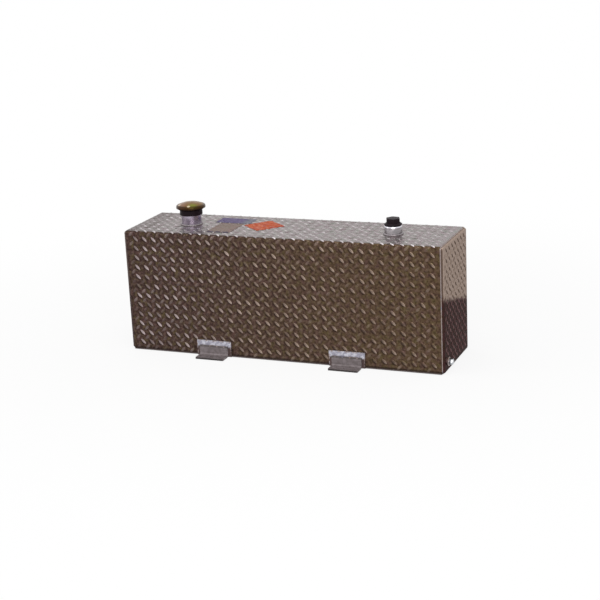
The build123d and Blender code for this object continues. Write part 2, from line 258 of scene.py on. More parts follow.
def newMaterial(name, colour, metallic, roughness):
    material = bpy.data.materials.new(name)
    material.use_nodes = True
    shader = material.node_tree.nodes["Principled BSDF"]
    shader.inputs["Base Color"].default_value = colour
    shader.inputs["Metallic"].default_value = metallic
    shader.inputs["Roughness"].default_value = roughness
    return material, material.node_tree, shader


def finishSurface(tree, shader, marks, colour, rough, bump, depth=0.0002, follows=("Patches", 0.0, 1.0)):
    # the roughness goes from the first to the second of rough with the mark that it follows
    mark, low, high = follows
    tree.links.new(colour, shader.inputs["Base Color"])
    tree.links.new(rise(tree, marks[mark], low, high, *rough), shader.inputs["Roughness"])
    inputs = {"Strength": bump, "Distance": depth, "Height": marks["Height"]}
    tree.links.new(addNode(tree, "Bump", inputs).outputs[0], shader.inputs["Normal"])


def newGroup(name, inputs, outputs):
    # inputs give each socket's name, kind and value
    group = bpy.data.node_groups.new(name, "ShaderNodeTree")
    for socket, kind, value in inputs:
        made = group.interface.new_socket(socket, in_out="INPUT", socket_type="NodeSocket" + kind)
        made.default_value = value
    for socket in outputs:
        group.interface.new_socket(socket, in_out="OUTPUT", socket_type="NodeSocketFloat")
    given = group.nodes.new("NodeGroupInput").outputs
    return group, given, group.nodes.new("NodeGroupOutput")


def surfaceMarksGroup():
    # shared by every finish: broad patches, fine grain, and scratches drawn out along the axes
    # where Drawn is small
    group, given, result = newGroup("surface_marks", [
        ("Vector", "Vector", (0.0, 0.0, 0.0)), ("Patch Scale", "Float", 20.0),
        ("Grain Scale", "Float", 600.0), ("Scratch Scale", "Float", 300.0),
        ("Drawn", "Vector", (0.06, 1.0, 1.0))], ["Patches", "Grain", "Scratches", "Height"])
    vector = given["Vector"]
    patches = noise(group, vector, given["Patch Scale"], 4.0, 0.6)
    grain = noise(group, vector, given["Grain Scale"])
    drawn = addNode(group, "Mapping", {"Vector": vector, "Scale": given["Drawn"]}).outputs[0]
    lines = rise(group, noise(group, drawn, given["Scratch Scale"], 3.0), 0.52, 0.72)
    height = maths(group, "ADD", maths(group, "MULTIPLY", grain, 0.6), lines)
    group.links.new(rise(group, patches, 0.35, 0.65), result.inputs["Patches"])
    group.links.new(grain, result.inputs["Grain"])
    group.links.new(lines, result.inputs["Scratches"])
    group.links.new(height, result.inputs["Height"])
    return group


surfaceMarks = surfaceMarksGroup()


def startFinish(name, colour, values):
    # a new material, its object coordinates, its surface marks, and the place along each axis
    material, tree, shader = newMaterial(name, colour, values["metallic"], values["roughness"])
    coordinates = addNode(tree, "TexCoord").outputs["Object"]
    marks = tree.nodes.new("ShaderNodeGroup")
    marks.node_tree = surfaceMarks
    tree.links.new(coordinates, marks.inputs["Vector"])
    for key in ("patch", "grain", "scratch"):
        marks.inputs[key.capitalize() + " Scale"].default_value = values[key]
    place = addNode(tree, "SeparateXYZ", {0: coordinates}).outputs
    return material, tree, shader, coordinates, marks.outputs, place


# Tread plate: mottled, with painted reflections (dark brown on the upright faces, pale on the top),
# painted highlights on the lugs, and darker along the bottom edge

# darker towards the bottom edge
bottomDark = (0.016, 0.006, 0.85)   # the height where it starts, where it is full, and how much

# the painted shadow beside each lug: how far it reaches along, how far aside it lies, its width and how
# dark
treadShade = {"reach": 0.012, "aside": 0.0058, "width": 0.0050, "depth": 0.7}

tread = {
    "patch": 105.0, "grain": 900.0, "scratch": 420.0, "hue": 46.0, "roughness": 0.31,
    "metallic": 0.92, "bump": 0.22, "grainDepth": 0.00025,
    "topEdge": (0.1440, 0.1364),   # how far from the middle the top's colour starts and is full
    "topBelow": (0.0272, 0.0172),  # and how far below the top
    "lugBelow": (0.0047, 0.0022),  # the same for the colour of the top's lugs
    "leftFrom": (-0.40, -0.605),   # along the tank, where the top turns dark at its left end
    # left and right are the upright faces' painted reflection and top is the top's; lugLeft, lugRight
    # and topLug are the lugs' painted highlights
    **shades(left=(68, 51, 47), right=(86, 67, 50), olive=(92, 80, 50), purple=(92, 68, 64),
             dark=(42, 29, 25), pale=(108, 90, 75), foot=(34, 23, 22),
             lugLeft=(192, 177, 178), lugRight=(194, 173, 159),
             top=(135, 124, 123), topPink=(128, 107, 112), topGreen=(115, 116, 106),
             topDark=(100, 88, 89), topPale=(170, 160, 161), topEnd=(80, 64, 60),
             topLug=(222, 214, 217)),
}

# the ends' two fields are a painted reflection, and their bends are darkened as painted shade
endPlate = {
    "lineFront": 0.271, "lineSlope": 0.25, "lineBlur": 0.012, "lineWander": 0.05,
    "leftBlur": 0.09,                        # the left end's two fields pass softly
    "bent": (0.0069, 0.0049), "bendShare": 0.85,   # how far inside the faces the bends turn dark
    "leftTop": (0.0172, 0.0072), "edgeTint": 0.4,  # how far below the top at the left end
    **shades(upper=(188, 167, 156), upperPatch=(172, 152, 136), upperLug=(66, 48, 38),
             lower=(66, 42, 42), lowerPatch=(58, 42, 34), lowerLug=(126, 96, 96),
             bend=(72, 54, 46)),
}


def lugShadeGroup():
    # a painted shadow, a soft dark patch beside each lug of the first family: along and up are
    # wrapped into one lattice cell, turned to the lug's lean as u and v, and the patch is 1
    # where (u / reach)^2 + ((v + aside) / width)^2 is small
    names = ("Along", "Up", "Pitch Along", "Pitch Up", "Start Along", "Start Up")
    group, given, result = newGroup("lug_shade", [(name, "Float", 0.0) for name in names], ["Shade"])
    wrapped = []
    for axis in ("Along", "Up"):
        half = maths(group, "MULTIPLY", given["Pitch " + axis], 0.5)
        away = maths(group, "SUBTRACT", given[axis], given["Start " + axis])
        inputs = {0: away, 1: half, 2: maths(group, "MULTIPLY", half, -1.0)}
        wrapped.append(addNode(group, "Math", inputs, operation="WRAP").outputs[0])
    slant = math.sqrt(0.5)
    u = maths(group, "MULTIPLY", maths(group, "SUBTRACT", *wrapped), slant / treadShade["reach"])
    v = maths(group, "MULTIPLY", maths(group, "ADD", *wrapped), slant)
    v = maths(group, "DIVIDE", maths(group, "ADD", v, treadShade["aside"]), treadShade["width"])
    square = maths(group, "ADD", maths(group, "MULTIPLY", u, u), maths(group, "MULTIPLY", v, v))
    group.links.new(rise(group, square, 1.6, 0.05), result.inputs["Shade"])
    return group


def startTread(name, colour):
    # as startFinish, with a slow drift of hue and the lug glint attribute, which is up to 1 on a lug
    # with a painted highlight
    material, tree, shader, coordinates, marks, place = startFinish(name, colour, tread)
    hue = noise(tree, coordinates, tread["hue"], 3.0, 0.6)
    lugGlint = addNode(tree, "Attribute", attribute_name="lugGlint", attribute_type="GEOMETRY").outputs["Fac"]
    return material, tree, shader, marks, hue, lugGlint, place


def finishTread(tree, shader, marks, colour):
    rough = (tread["roughness"] - 0.05, tread["roughness"] + 0.06)
    finishSurface(tree, shader, marks, colour, rough, tread["bump"], tread["grainDepth"],
                  ("Grain", 0.3, 0.7))


def treadPlateMaterial():
    # mottled, with a dark brown painted reflection on the upright faces that turns lighter from
    # left to right and a pale painted reflection on the top; the lugs' painted highlights take
    # their brightness from the lug glint attribute
    material, tree, shader, marks, hue, lugGlint, place = startTread("tread_plate", tread["left"])
    patches, high, fade = marks["Patches"], tank["height"], tank["fade"]
    shade = tree.nodes.new("ShaderNodeGroup")
    shade.node_tree = lugShadeGroup()
    tree.links.new(place["X"], shade.inputs["Along"])
    tree.links.new(place["Z"], shade.inputs["Up"])
    for key, value in zip(("Pitch Along", "Pitch Up", "Start Along", "Start Up"),
                          (*lug["pitch"], *lug["start"])):
        shade.inputs[key].default_value = value
    # the upright faces' dark brown painted reflection, lighter towards the right, with random mottling
    side = layered(tree, tread["left"],
                   (place["X"], -fade, fade, 1.0, tread["right"]),
                   (hue, 0.48, 0.70, 0.8, tread["purple"]), (hue, 0.52, 0.30, 0.8, tread["olive"]),
                   (patches, 0.5, 1.0, 0.55, tread["dark"]), (patches, 0.5, 0.0, 0.45, tread["pale"]))
    # painted shadow beside each lug
    beside = maths(tree, "MULTIPLY", shade.outputs[0], treadShade["depth"])
    side = colourMix(tree, beside, side, tread["dark"])
    # darker along the bottom edge
    side = layered(tree, side, (place["Z"], *bottomDark, tread["foot"]))
    # the top's pale painted reflection, with random mottling
    top = layered(tree, tread["top"],
                  (hue, 0.45, 0.66, 1.0, tread["topPink"]), (hue, 0.53, 0.36, 1.0, tread["topGreen"]),
                  (patches, 0.5, 1.0, 0.35, tread["topDark"]),
                  (patches, 0.5, 0.0, 0.35, tread["topPale"]),
                  (wandering(tree, place["X"], hue, 0.1), *tread["leftFrom"], 0.72, tread["topEnd"]))
    edge = wandering(tree, maths(tree, "ABSOLUTE", place["Y"]), hue, 0.02)
    below = maths(tree, "SUBTRACT", high, place["Z"])
    upThere = maths(tree, "MULTIPLY", rise(tree, edge, *tread["topEdge"]),
                    rise(tree, below, *tread["topBelow"]))
    plain = colourMix(tree, upThere, side, top)
    # painted highlights on the lugs, brighter on the top's lugs
    lugHighlight = layered(tree, tread["lugLeft"], (place["X"], -0.55, 0.0, 1.0, tread["lugRight"]),
                       (below, *tread["lugBelow"], 1.0, tread["topLug"]))
    finishTread(tree, shader, marks, colourMix(tree, lugGlint, plain, lugHighlight))
    return material


def endPlateMaterial():
    # the ends: a painted reflection, a pale upper field with dark lugs over a dark field with
    # red-brown lugs, parted by a slanting line z = lineFront - lineSlope * (y - front); the bent
    # edges, and the top edge at the left end, are darkened as painted shade
    material, tree, shader, marks, hue, lugGlint, place = startTread("end_tread_plate", endPlate["upper"])
    line = maths(tree, "MULTIPLY", maths(tree, "ADD", place["Y"], tank["face"]), endPlate["lineSlope"])
    above = maths(tree, "SUBTRACT", maths(tree, "ADD", place["Z"], line), endPlate["lineFront"])
    above = wandering(tree, above, hue, endPlate["lineWander"])
    leftEnd = rise(tree, place["X"], 0.1, -0.1)
    passages = [rise(tree, above, -blur, blur) for blur in (endPlate["lineBlur"], endPlate["leftBlur"])]
    upper = addNode(tree, "Mix", {0: leftEnd, 2: passages[0], 3: passages[1]}).outputs[0]
    inside = maths(tree, "SUBTRACT", tank["face"], maths(tree, "ABSOLUTE", place["Y"]))
    bent = rise(tree, inside, *endPlate["bent"])
    leftTop = rise(tree, maths(tree, "SUBTRACT", tank["height"], place["Z"]), *endPlate["leftTop"])
    bent = maths(tree, "MAXIMUM", bent, maths(tree, "MULTIPLY", leftEnd, leftTop))
    bent = maths(tree, "MULTIPLY", bent, endPlate["bendShare"])
    pale = colourMix(tree, marks["Patches"], endPlate["upper"], endPlate["upperPatch"])
    # painted shade on the bends
    pale = colourMix(tree, bent, pale, endPlate["bend"])
    dark = layered(tree, endPlate["lower"], (hue, 0.4, 0.65, 1.0, endPlate["lowerPatch"]))
    plain = colourMix(tree, upper, dark, pale)
    # the painted reflection in the lugs: dark in the pale field, red-brown in the dark one
    lugHighlight = colourMix(tree, upper, endPlate["lowerLug"], endPlate["upperLug"])
    finishTread(tree, shader, marks, colourMix(tree, lugGlint, plain, lugHighlight))
    shader.inputs["Specular Tint"].default_value = (*[endPlate["edgeTint"]] * 3, 1.0)
    return material


# Gold plated cap cover

gold = {
    "patch": 45.0, "grain": 900.0, "scratch": 500.0, "metallic": 0.9, "roughness": 0.3,
    "shift": 34.0, "shiftReach": 0.09, "shiftFrom": (-0.028, 0.012),
    "spotHeight": 0.012, "greenSpot": (0.024, -0.034, 0.026),   # x, y and reach
    # two cream spots painted as highlights on the dome, as x, y and reach
    "worn": ((-0.031, -0.030, 0.008), (0.012, -0.043, 0.008)),
    # the lip and the rim are darkened as painted shade
    "lipHeight": (0.0075, 0.002), "rimOut": (0.041, 0.052),     # where the rim turns dark
    **shades(gold=(122, 86, 22), pink=(136, 98, 70), green=(122, 122, 30), lip=(44, 28, 16),
             cream=(220, 202, 170)),
}


def goldMaterial():
    # yellow plating that shifts from pinkish brown to gold across the cover, with a green
    # patch, two cream spots painted as highlights, and a lip and rim darkened as painted shade
    material, tree, shader, coordinates, marks, place = startFinish("gold_plate", gold["gold"], gold)
    middle, low = boxCentre("cap_cover"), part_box("cap_cover")[0].z

    def spotAt(x, y):
        # distance from a point of the dome
        centre = (middle.x + x, middle.y + y, low + gold["spotHeight"])
        return addNode(tree, "VectorMath", {0: coordinates, 1: centre},
                       operation="DISTANCE").outputs["Value"]

    aside = maths(tree, "SUBTRACT", place["X"], middle.x)
    along = wandering(tree, aside, noise(tree, coordinates, gold["shift"]), gold["shiftReach"])
    out = maths(tree, "SQRT", maths(tree, "ADD", maths(tree, "MULTIPLY", aside, aside),
                                    maths(tree, "MULTIPLY", place["Y"], place["Y"])))
    x, y, reach = gold["greenSpot"]
    colour = layered(tree, gold["pink"], (along, *gold["shiftFrom"], 1.0, gold["gold"]),
                     (spotAt(x, y), reach, reach * 0.2, 1.0, gold["green"]),
                     (maths(tree, "SUBTRACT", place["Z"], low), *gold["lipHeight"], 0.85, gold["lip"]),
                     (out, *gold["rimOut"], 0.85, gold["lip"]))
    # the painted highlights
    for x, y, reach in gold["worn"]:
        colour = layered(tree, colour, (spotAt(x, y), reach, reach * 0.4, 0.9, gold["cream"]))
    finishSurface(tree, shader, marks, colour, (0.20, 0.34), 0.12)
    return material


# Labels: plain fields of colour. A field is a rectangle, as its low and high corner from the
# label's low corner

film = {
    "patch": 60.0, "grain": 1500.0, "scratch": 500.0, "metallic": 0.0, "roughness": 0.45,
    "blots": 95.0, "shine": 0.12, "lift": 0.0004, "thickness": 0.00018, "step": 0.0016,
}
labels = {
    "label_blue": {
        "size": (0.140, 0.070), "turn": 0.0, "rubbed": 0.4,
        "fields": [((0.104, -0.014), (0.160, 0.086))], "blur": 0.018,
        **shades(colour=(80, 66, 110), patch=(98, 86, 122), worn=(150, 142, 158),
                 ink=(110, 110, 122)),
    },
    "label_tan": {
        "size": (0.092, 0.138), "turn": 0.0, "rubbed": 0.4,
        "fields": [((0.002, 0.0002), (0.028, 0.0155)), ((0.034, 0.0002), (0.056, 0.0155)),
                   ((0.062, 0.0002), (0.087, 0.0155))], "blur": 0.0015,
        **shades(colour=(112, 97, 84), patch=(134, 116, 108), worn=(156, 148, 146),
                 ink=(54, 42, 66), blot=(132, 104, 104)),
    },
    "label_orange": {
        "size": (0.112, 0.112), "turn": 50.0, "rubbed": 0.35, "fields": [],
        **shades(colour=(164, 52, 14), patch=(184, 78, 30), worn=(206, 146, 118),
                 blot=(198, 104, 66)),
    },
}


def labelMaterial(node):
    # printed film with mottling and blots, rubbed paler in patches
    label, corner = labels[node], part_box(node)[0]
    material, tree, shader, coordinates, marks, place = startFinish(
        slotOf[node], label["colour"], film)
    field = colourMix(tree, marks["Patches"], label["colour"], label["patch"])
    if "blot" in label:
        blots = noise(tree, coordinates, film["blots"])
        field = layered(tree, field, (blots, 0.52, 0.66, 1.0, label["blot"]))
    for low, high in label["fields"]:
        across = bandMask(tree, place["X"], corner.x + low[0], corner.x + high[0], label["blur"])
        along = bandMask(tree, place["Y"], corner.y + low[1], corner.y + high[1], label["blur"])
        field = colourMix(tree, maths(tree, "MULTIPLY", across, along), field, label["ink"])
    rubbed = maths(tree, "MULTIPLY", marks["Scratches"], label["rubbed"])
    field = colourMix(tree, rubbed, field, label["worn"])
    finishSurface(tree, shader, marks, field, (0.40, 0.55), 0.05, 0.0001)
    shader.inputs["Specular IOR Level"].default_value = film["shine"]
    return material


# Welds, feet, pump port and the plain finishes

weld = {
    "patch": 70.0, "grain": 1100.0, "scratch": 500.0, "metallic": 0.9, "roughness": 0.36,
    "tint": 40.0, "leftEnd": (-0.55, -0.59), "aboveTop": (0.0001, 0.0006), "padHeight": (0.0052, 0.0062),
    **shades(plain=(156, 142, 139), straw=(146, 128, 116), blue=(136, 132, 144),
             low=(60, 50, 48), top=(150, 143, 146), pad=(204, 190, 186)),
}


def weldMaterial():
    # bead metal with a straw and blue heat tint in patches, darker along the bottom edge and at
    # the left end, and pale round the pads
    material, tree, shader, coordinates, marks, place = startFinish("weld_bead", weld["plain"], weld)
    tint = noise(tree, coordinates, weld["tint"])
    above = maths(tree, "SUBTRACT", place["Z"], tank["height"])
    colour = layered(tree, weld["plain"], (tint, 0.5, 0.7, 1.0, weld["straw"]),
                     (tint, 0.42, 0.3, 1.0, weld["blue"]),
                     (place["X"], *weld["leftEnd"], 0.85, weld["low"]),
                     (place["Z"], *bottomDark, weld["low"]),
                     (above, *weld["aboveTop"], 1.0, weld["top"]))
    padFace = tank["face"] + boxSize("pad_front_left").y
    atPad = bandMask(tree, maths(tree, "ABSOLUTE", place["Y"]), tank["face"] + 0.0005, padFace, 0.0003)
    atPad = maths(tree, "MULTIPLY", atPad, rise(tree, place["Z"], *weld["padHeight"]))
    colour = colourMix(tree, atPad, colour, weld["pad"])
    finishSurface(tree, shader, marks, colour, (0.30, 0.46), 0.15)
    return material


plain = {
    "patch": 25.0, "grain": 700.0, "scratch": 260.0, "metallic": 0.9, "bump": 0.15,
    "scratched": 0.25, "shine": 0.5, "lathe": False, "latheGloss": 0.75,
}


def plainFinish(name, **own):
    # a finish with patches between two colours, paler scratches and a fine grain; a lathe-turned
    # one has its scratches drawn round Z and its gloss spread across them
    values = {**plain, **own}
    dark, light, roughness = linear(*own["dark"]), linear(*own["light"]), own["roughness"]
    material, tree, shader, coordinates, marks, place = startFinish(name, dark, values)
    if values["lathe"]:
        marks["Patches"].node.inputs["Drawn"].default_value = (0.05, 0.05, 1.0)
        tangent = addNode(tree, "Tangent", direction_type="RADIAL", axis="Z").outputs[0]
        tree.links.new(tangent, shader.inputs["Tangent"])
        shader.inputs["Anisotropic"].default_value = values["latheGloss"]
    colour = colourMix(tree, marks["Patches"], dark, light)
    scratches = maths(tree, "MULTIPLY", marks["Scratches"], values["scratched"])
    bright = tuple(min(1.0, 1.5 * part) for part in light[:3]) + (1.0,)
    colour = colourMix(tree, scratches, colour, bright)
    rough = (roughness - 0.05, roughness + 0.07)
    finishSurface(tree, shader, marks, colour, rough, values["bump"])
    shader.inputs["Specular IOR Level"].default_value = values["shine"]
    return material, tree, shader, colour, coordinates, place


foot = {
    "spots": 70.0, "corner": 0.008,   # the shaded height below the bracket's top
    # the pads' pale colour and paler patches are painted light; the pads' dark sides, the feet's tips
    # and the brackets' upper edges are painted shade
    **shades(pad=(160, 158, 172), padPale=(206, 206, 216), padLow=(84, 66, 64), tip=(50, 44, 44),
             under=(74, 70, 68)),
}


def footMaterial():
    # the pads are pale above the brackets as painted light, with paler painted highlights, and
    # dark beside them as painted shade; the brackets' upper edges and the feet's tips are
    # darkened as painted shade
    material, tree, shader, colour, coordinates, place = plainFinish(
        "bracket_aluminium", dark=(112, 103, 103), light=(138, 128, 130), metallic=0.3,
        roughness=0.6, patch=90.0, scratched=0.3)
    low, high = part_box("bracket_front_left")
    tip, top = abs(low.y), high.z
    padFace = tank["face"] + boxSize("pad_front_left").y
    out = maths(tree, "ABSOLUTE", place["Y"])
    spots = noise(tree, coordinates, foot["spots"])
    pad = layered(tree, foot["pad"], (spots, 0.40, 0.62, 1.0, foot["padPale"]),
                  (place["Z"], top, top - foot["corner"], 1.0, foot["padLow"]))
    # painted shade on the brackets' upper edges and the feet's tips, painted light and shade on the pads
    colour = layered(tree, colour,
                     (place["Z"], top - foot["corner"], top - 0.002, 0.8, foot["under"]),
                     (out, padFace + 0.0006, padFace + 0.0001, 1.0, pad),
                     (out, tip - 0.0012, tip - 0.0004, 1.0, foot["tip"]))
    tree.links.new(colour, shader.inputs["Base Color"])
    return material


# a painted highlight round the port's upper edge
port = {"band": 0.0042, "bandBlur": 0.001, "bright": linear(222, 218, 226)}


def portMaterial():
    # turned grey bar with a bright band painted as a highlight at the port's upper edge
    material, tree, shader, colour, coordinates, place = plainFinish(
        "machined_aluminium", dark=(128, 124, 126), light=(152, 146, 149), metallic=0.92,
        roughness=0.22, scratched=0.4, lathe=True)
    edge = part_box("pump_coupling")[1].z - port["band"]
    colour = layered(tree, colour, (place["Z"], edge - port["bandBlur"], edge, 1.0, port["bright"]))
    tree.links.new(colour, shader.inputs["Base Color"])
    return material


plainFinishes = {
    "mill_aluminium": {"dark": (140, 138, 138), "light": (158, 156, 155), "roughness": 0.38},
    "neck_aluminium": {"dark": (160, 150, 168), "light": (184, 176, 190), "metallic": 0.92,
                       "roughness": 0.25, "scratched": 0.3, "lathe": True},
    "zinc_steel": {"dark": (182, 186, 190), "light": (206, 208, 212), "metallic": 0.95,
                   "roughness": 0.25},
    "brass": {"dark": (186, 148, 88), "light": (200, 164, 104), "metallic": 0.95,
              "roughness": 0.28},
    "black_moulding": {"dark": (24, 15, 20), "light": (33, 22, 28), "metallic": 0.0,
                       "roughness": 0.45, "grain": 1400.0, "bump": 0.25, "scratched": 0.08,
                       "shine": 0.1},
    "gasket_rubber": {"dark": (22, 21, 22), "light": (30, 29, 29), "metallic": 0.0,
                      "roughness": 0.7, "grain": 1200.0, "bump": 0.3, "scratched": 0.1},
}
finishes = {
    "tread_plate": treadPlateMaterial(), "end_tread_plate": endPlateMaterial(),
    "gold_plate": goldMaterial(), "weld_bead": weldMaterial(),
    "bracket_aluminium": footMaterial(), "machined_aluminium": portMaterial(),
    **{slotOf[node]: labelMaterial(node) for node in labels},
    **{slot: plainFinish(slot, **values)[0] for slot, values in plainFinishes.items()},
}
for name, node in cadNodes.items():
    node.data.materials.clear()
    node.data.materials.append(finishes[slotOf[name]])
print("finishes made:", len(finishes))


# Raised lugs of the tread plate, in two crossing families

# how strongly the lugs' painted highlights show, by family, on the top, on the bend and on the ends, and
# from left to right
lugLight = {
    "bright": (0.20, 1.0), "dull": (0.0, 0.24),          # first and second family, upright
    "top": (0.35, 1.0), "topDull": (0.0, 0.6), "bend": (0.35, 0.95), "bendReach": 0.004,
    "end": (0.85, 1.0), "endDull": (0.35, 0.8), "endComet": 0.2,
    "leftToRight": (1.08, 0.66), "comet": (0.4, 1.0),    # at the tank's left and right end
}


def lugTemplate(rows=7, columns=5):
    # a pointed, low ridge: at t along it (-1 to 1) the half width is w (1 - |t|^2.2) and the
    # height h (1 - t^4)^0.7, falling to the sheet across it as 1, 0.82, 0
    t = np.linspace(-1, 1, rows + 2)[1:-1]
    across = np.linspace(-1, 1, columns)
    fall = np.array([0, 0.82, 1, 0.82, 0])
    halfLength = lug["length"] / 2
    halfWidth = lug["width"] / 2 * (1 - np.abs(t) ** 2.2)
    ridge = lug["height"] * (1 - t ** 4) ** 0.7
    along = np.repeat(t[:, None], columns, 1) * lug["length"] / 2
    side = halfWidth[:, None] * across
    height = (ridge[:, None] + lug["sink"]) * fall - lug["sink"]
    ridges = np.stack([along, side, height], -1).reshape(-1, 3)
    tips = np.array([[-halfLength, 0, -lug["sink"]], [halfLength, 0, -lug["sink"]]])
    grid = np.arange(rows * columns).reshape(rows, columns)
    lowTip, highTip = np.full(columns - 1, grid.size), np.full(columns - 1, grid.size + 1)
    lowFan = np.stack([lowTip, grid[0, 1:], grid[0, :-1]], -1)
    highFan = np.stack([highTip, grid[-1, :-1], grid[-1, 1:]], -1)
    under = np.concatenate([lowTip[:1], grid[:, 0], highTip[:1], grid[::-1, -1]])[None]
    faces = [gridFaces(rows, columns)[:, ::-1], lowFan[:, ::-1], highFan[:, ::-1], under]
    return np.concatenate([ridges, tips]), faces


def foldedSheet(along, up, height):
    # the point at a distance up the wrapper's developed length, from the bottom edge at the
    # front over two quarter bends to the bottom edge at the back, height above the sheet
    bend = tank["bend"]
    straight = tank["height"] - bend
    arc = bend * math.pi / 2
    flat = tank["depth"] - 2 * bend
    firstTurn = np.clip((up - straight) / bend, 0, math.pi / 2)
    secondTurn = np.clip((up - straight - arc - flat) / bend, 0, math.pi / 2)
    overTop = np.clip(up - straight - arc, 0, flat)
    downBack = np.clip(up - straight - 2 * arc - flat, 0, None)
    y = -tank["face"] + bend * (1 - np.cos(firstTurn)) + overTop + bend * np.sin(secondTurn)
    z = np.minimum(up, straight) + bend * np.sin(firstTurn)
    z = z - bend * (1 - np.cos(secondTurn)) - downBack
    turn = firstTurn + secondTurn
    return np.stack([along, y - height * np.cos(turn), z + height * np.sin(turn)], -1)


def latticePlaces(start, pitch, low, high):
    # centres of both families inside low..high, and which way each leans: the second family
    # stands at the middles of the first one's cells
    counts = [np.arange(math.floor((low[k] - start[k]) / pitch[k]) - 1,
                        math.ceil((high[k] - start[k]) / pitch[k]) + 2) for k in (0, 1)]
    a, b = (grid.ravel() for grid in np.meshgrid(*counts, indexing="ij"))
    first = np.stack([start[0] + pitch[0] * a, start[1] + pitch[1] * b], -1)
    second = first + np.asarray(pitch) / 2
    places = np.concatenate([first, second])
    lean = np.concatenate([-np.ones(len(first)), np.ones(len(second))])
    room = lug["edgeRoom"]
    inside = np.all((places > np.asarray(low) + room) & (places < np.asarray(high) - room), 1)
    return places[inside], lean[inside]


def placeLugs(places, lean):
    # the template turned to each lug's lean and carried to its place, as one array
    points, faces = lugTemplate()
    angle = np.radians(lug["lean"]) * lean[:, None]
    along = points[None, :, 0] * np.cos(angle) - points[None, :, 1] * np.sin(angle)
    up = points[None, :, 0] * np.sin(angle) + points[None, :, 1] * np.cos(angle)
    height = np.repeat(points[None, :, 2], len(places), 0)
    shift = (np.arange(len(places)) * len(points))[:, None, None]
    blocks = [(block[None] + shift).reshape(-1, block.shape[1]) for block in faces]
    return places[:, :1] + along, places[:, 1:] + up, height, blocks


def addLugGlint(piece, own, lean, comet):
    # the painted highlight: a lug of the first family is brightest at its lower right end, as
    # 1 - c + c * slide^1.5 with slide from 0 to 1 along it, and one of the second family at its
    # middle
    slide = np.clip(0.5 + lugTemplate()[0][:, 0] / lug["length"], 0, 1)[None]
    far = 1 - comet[:, None] * (1 - slide ** 1.5)
    middle = 1 - (2 * slide - 1) ** 2
    value = own[:, None] * np.where(lean[:, None] < 0, far, middle)
    lugGlint = piece.data.attributes.new("lugGlint", "FLOAT", "POINT")
    lugGlint.data.foreach_set("value", np.ascontiguousarray(value, np.float32).ravel())


def clearOf(places, centre, reach):
    # outside a circle, or outside a box where reach has two sizes
    away = np.abs(places - np.asarray(centre))
    if np.size(reach) == 1:
        return np.hypot(*away.T) > reach
    return np.any(away > np.asarray(reach), 1)


def wrapperLugs():
    rng = np.random.default_rng(lug["seed"])
    bend, fade = tank["bend"], (-tank["fade"], tank["fade"])
    developed = 2 * (tank["height"] - bend) + bend * math.pi + tank["depth"] - 2 * bend
    middle = developed / 2
    places, lean = latticePlaces(lug["start"], lug["pitch"], (-tank["wrapperEnd"], 0.0),
                                 (tank["wrapperEnd"], developed))
    free = clearOf(places, (fillerPlace[0], middle), lug["clearNeck"])
    free &= clearOf(places, (pumpPlace[0], middle), lug["clearPort"])
    for pad in ("pad_front_left", "pad_front_right"):
        reach = (boxSize(pad).x / 2 + lug["edgeRoom"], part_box(pad)[1].z + lug["edgeRoom"])
        free &= clearOf(places, (boxCentre(pad).x, 0), reach)
        free &= clearOf(places, (boxCentre(pad).x, developed), reach)
    places, lean = places[free], lean[free]
    first, second, height, blocks = placeLugs(places, lean)
    points = foldedSheet(first, second, height).reshape(-1, 3)
    piece = makePiece("tread_lugs", points, blocks, "tread_plate")
    # each lug's painted highlight strength, with a random spread
    bright, dull, top, topDull, atBend = (
        rng.uniform(*lugLight[key], len(lean)) for key in ("bright", "dull", "top", "topDull", "bend"))
    bright = bright * np.interp(places[:, 0], fade, lugLight["leftToRight"])
    comet = np.interp(places[:, 0], fade, lugLight["comet"])
    fromMiddle = np.abs(places[:, 1] - middle)
    above = fromMiddle < middle - tank["height"] + bend
    onBend = above & (fromMiddle > tank["face"] - bend - lugLight["bendReach"]) & (lean < 0)
    own = np.where(above, np.where(lean < 0, top, topDull), np.where(lean < 0, bright, dull))
    own = np.where(onBend, atBend, own)
    addLugGlint(piece, own, lean, np.where(onBend, 0.0, comet))
    print("lugs on the wrapper:", len(places))
    return places, lean


def endLugs(side, sign, seed):
    rng = np.random.default_rng(seed)
    margin, face = lug["endMargin"], tank["face"]
    places, lean = latticePlaces(lug["endStart"], lug["endPitch"], (margin - face, margin),
                                 (face - margin, tank["height"] - margin))
    if side == "right":
        free = clearOf(places, drainPlace[1:], lug["clearDrain"])
        places, lean = places[free], lean[free]
    first, second, height, blocks = placeLugs(places, lean)
    blocks = [block[:, ::sign] for block in blocks]
    points = np.stack([sign * (tank["end"] + height), first, second], -1).reshape(-1, 3)
    piece = makePiece(f"end_tread_lugs_{side}", points, blocks, "end_tread_plate")
    # each end lug's painted highlight strength, with a random spread
    bright, dull = (rng.uniform(*lugLight[key], len(lean)) for key in ("end", "endDull"))
    addLugGlint(piece, np.where(lean < 0, bright, dull), lean, np.full(len(lean), lugLight["endComet"]))
    print("lugs on the", side, "end:", len(places))


lugPlaces, lugLean = wrapperLugs()
endLugs("right", 1, lug["seed"] + 1)
endLugs("left", -1, lug["seed"] + 2)


# Weld beads. A bead's legs are its reach outward and upward from the joint

bead = {
    "pitch": 0.0026, "ripple": 0.10, "bow": 0.35, "perRipple": 4, "section": 9, "sink": 0.0002,
    "taper": 0.004,
    "end": {"legs": (0.0030, 0.0036), "inset": 0.0003, "corner": 0.0085},
    "seam": {"legs": (0.0022, 0.0016), "inset": 0.0008, "height": 0.0034},
    "pad": {"legs": (-0.0052, 0.0032), "foot": 0.0005},
    "bracket": {"legs": (0.0078, 0.0060), "inset": 0.001},
}
rings = {
    "filler_neck_weld": {"place": fillerPlace, "radius": 0.0363, "legs": (0.0056, 0.0048)},
    "pump_coupling_weld": {"place": pumpPlace, "radius": 0.0308, "legs": (0.0056, 0.0048)},
    "drain_bung_weld": {"place": drainPlace, "radius": 0.0128, "legs": (0.0036, 0.0032), "axis": "X"},
}


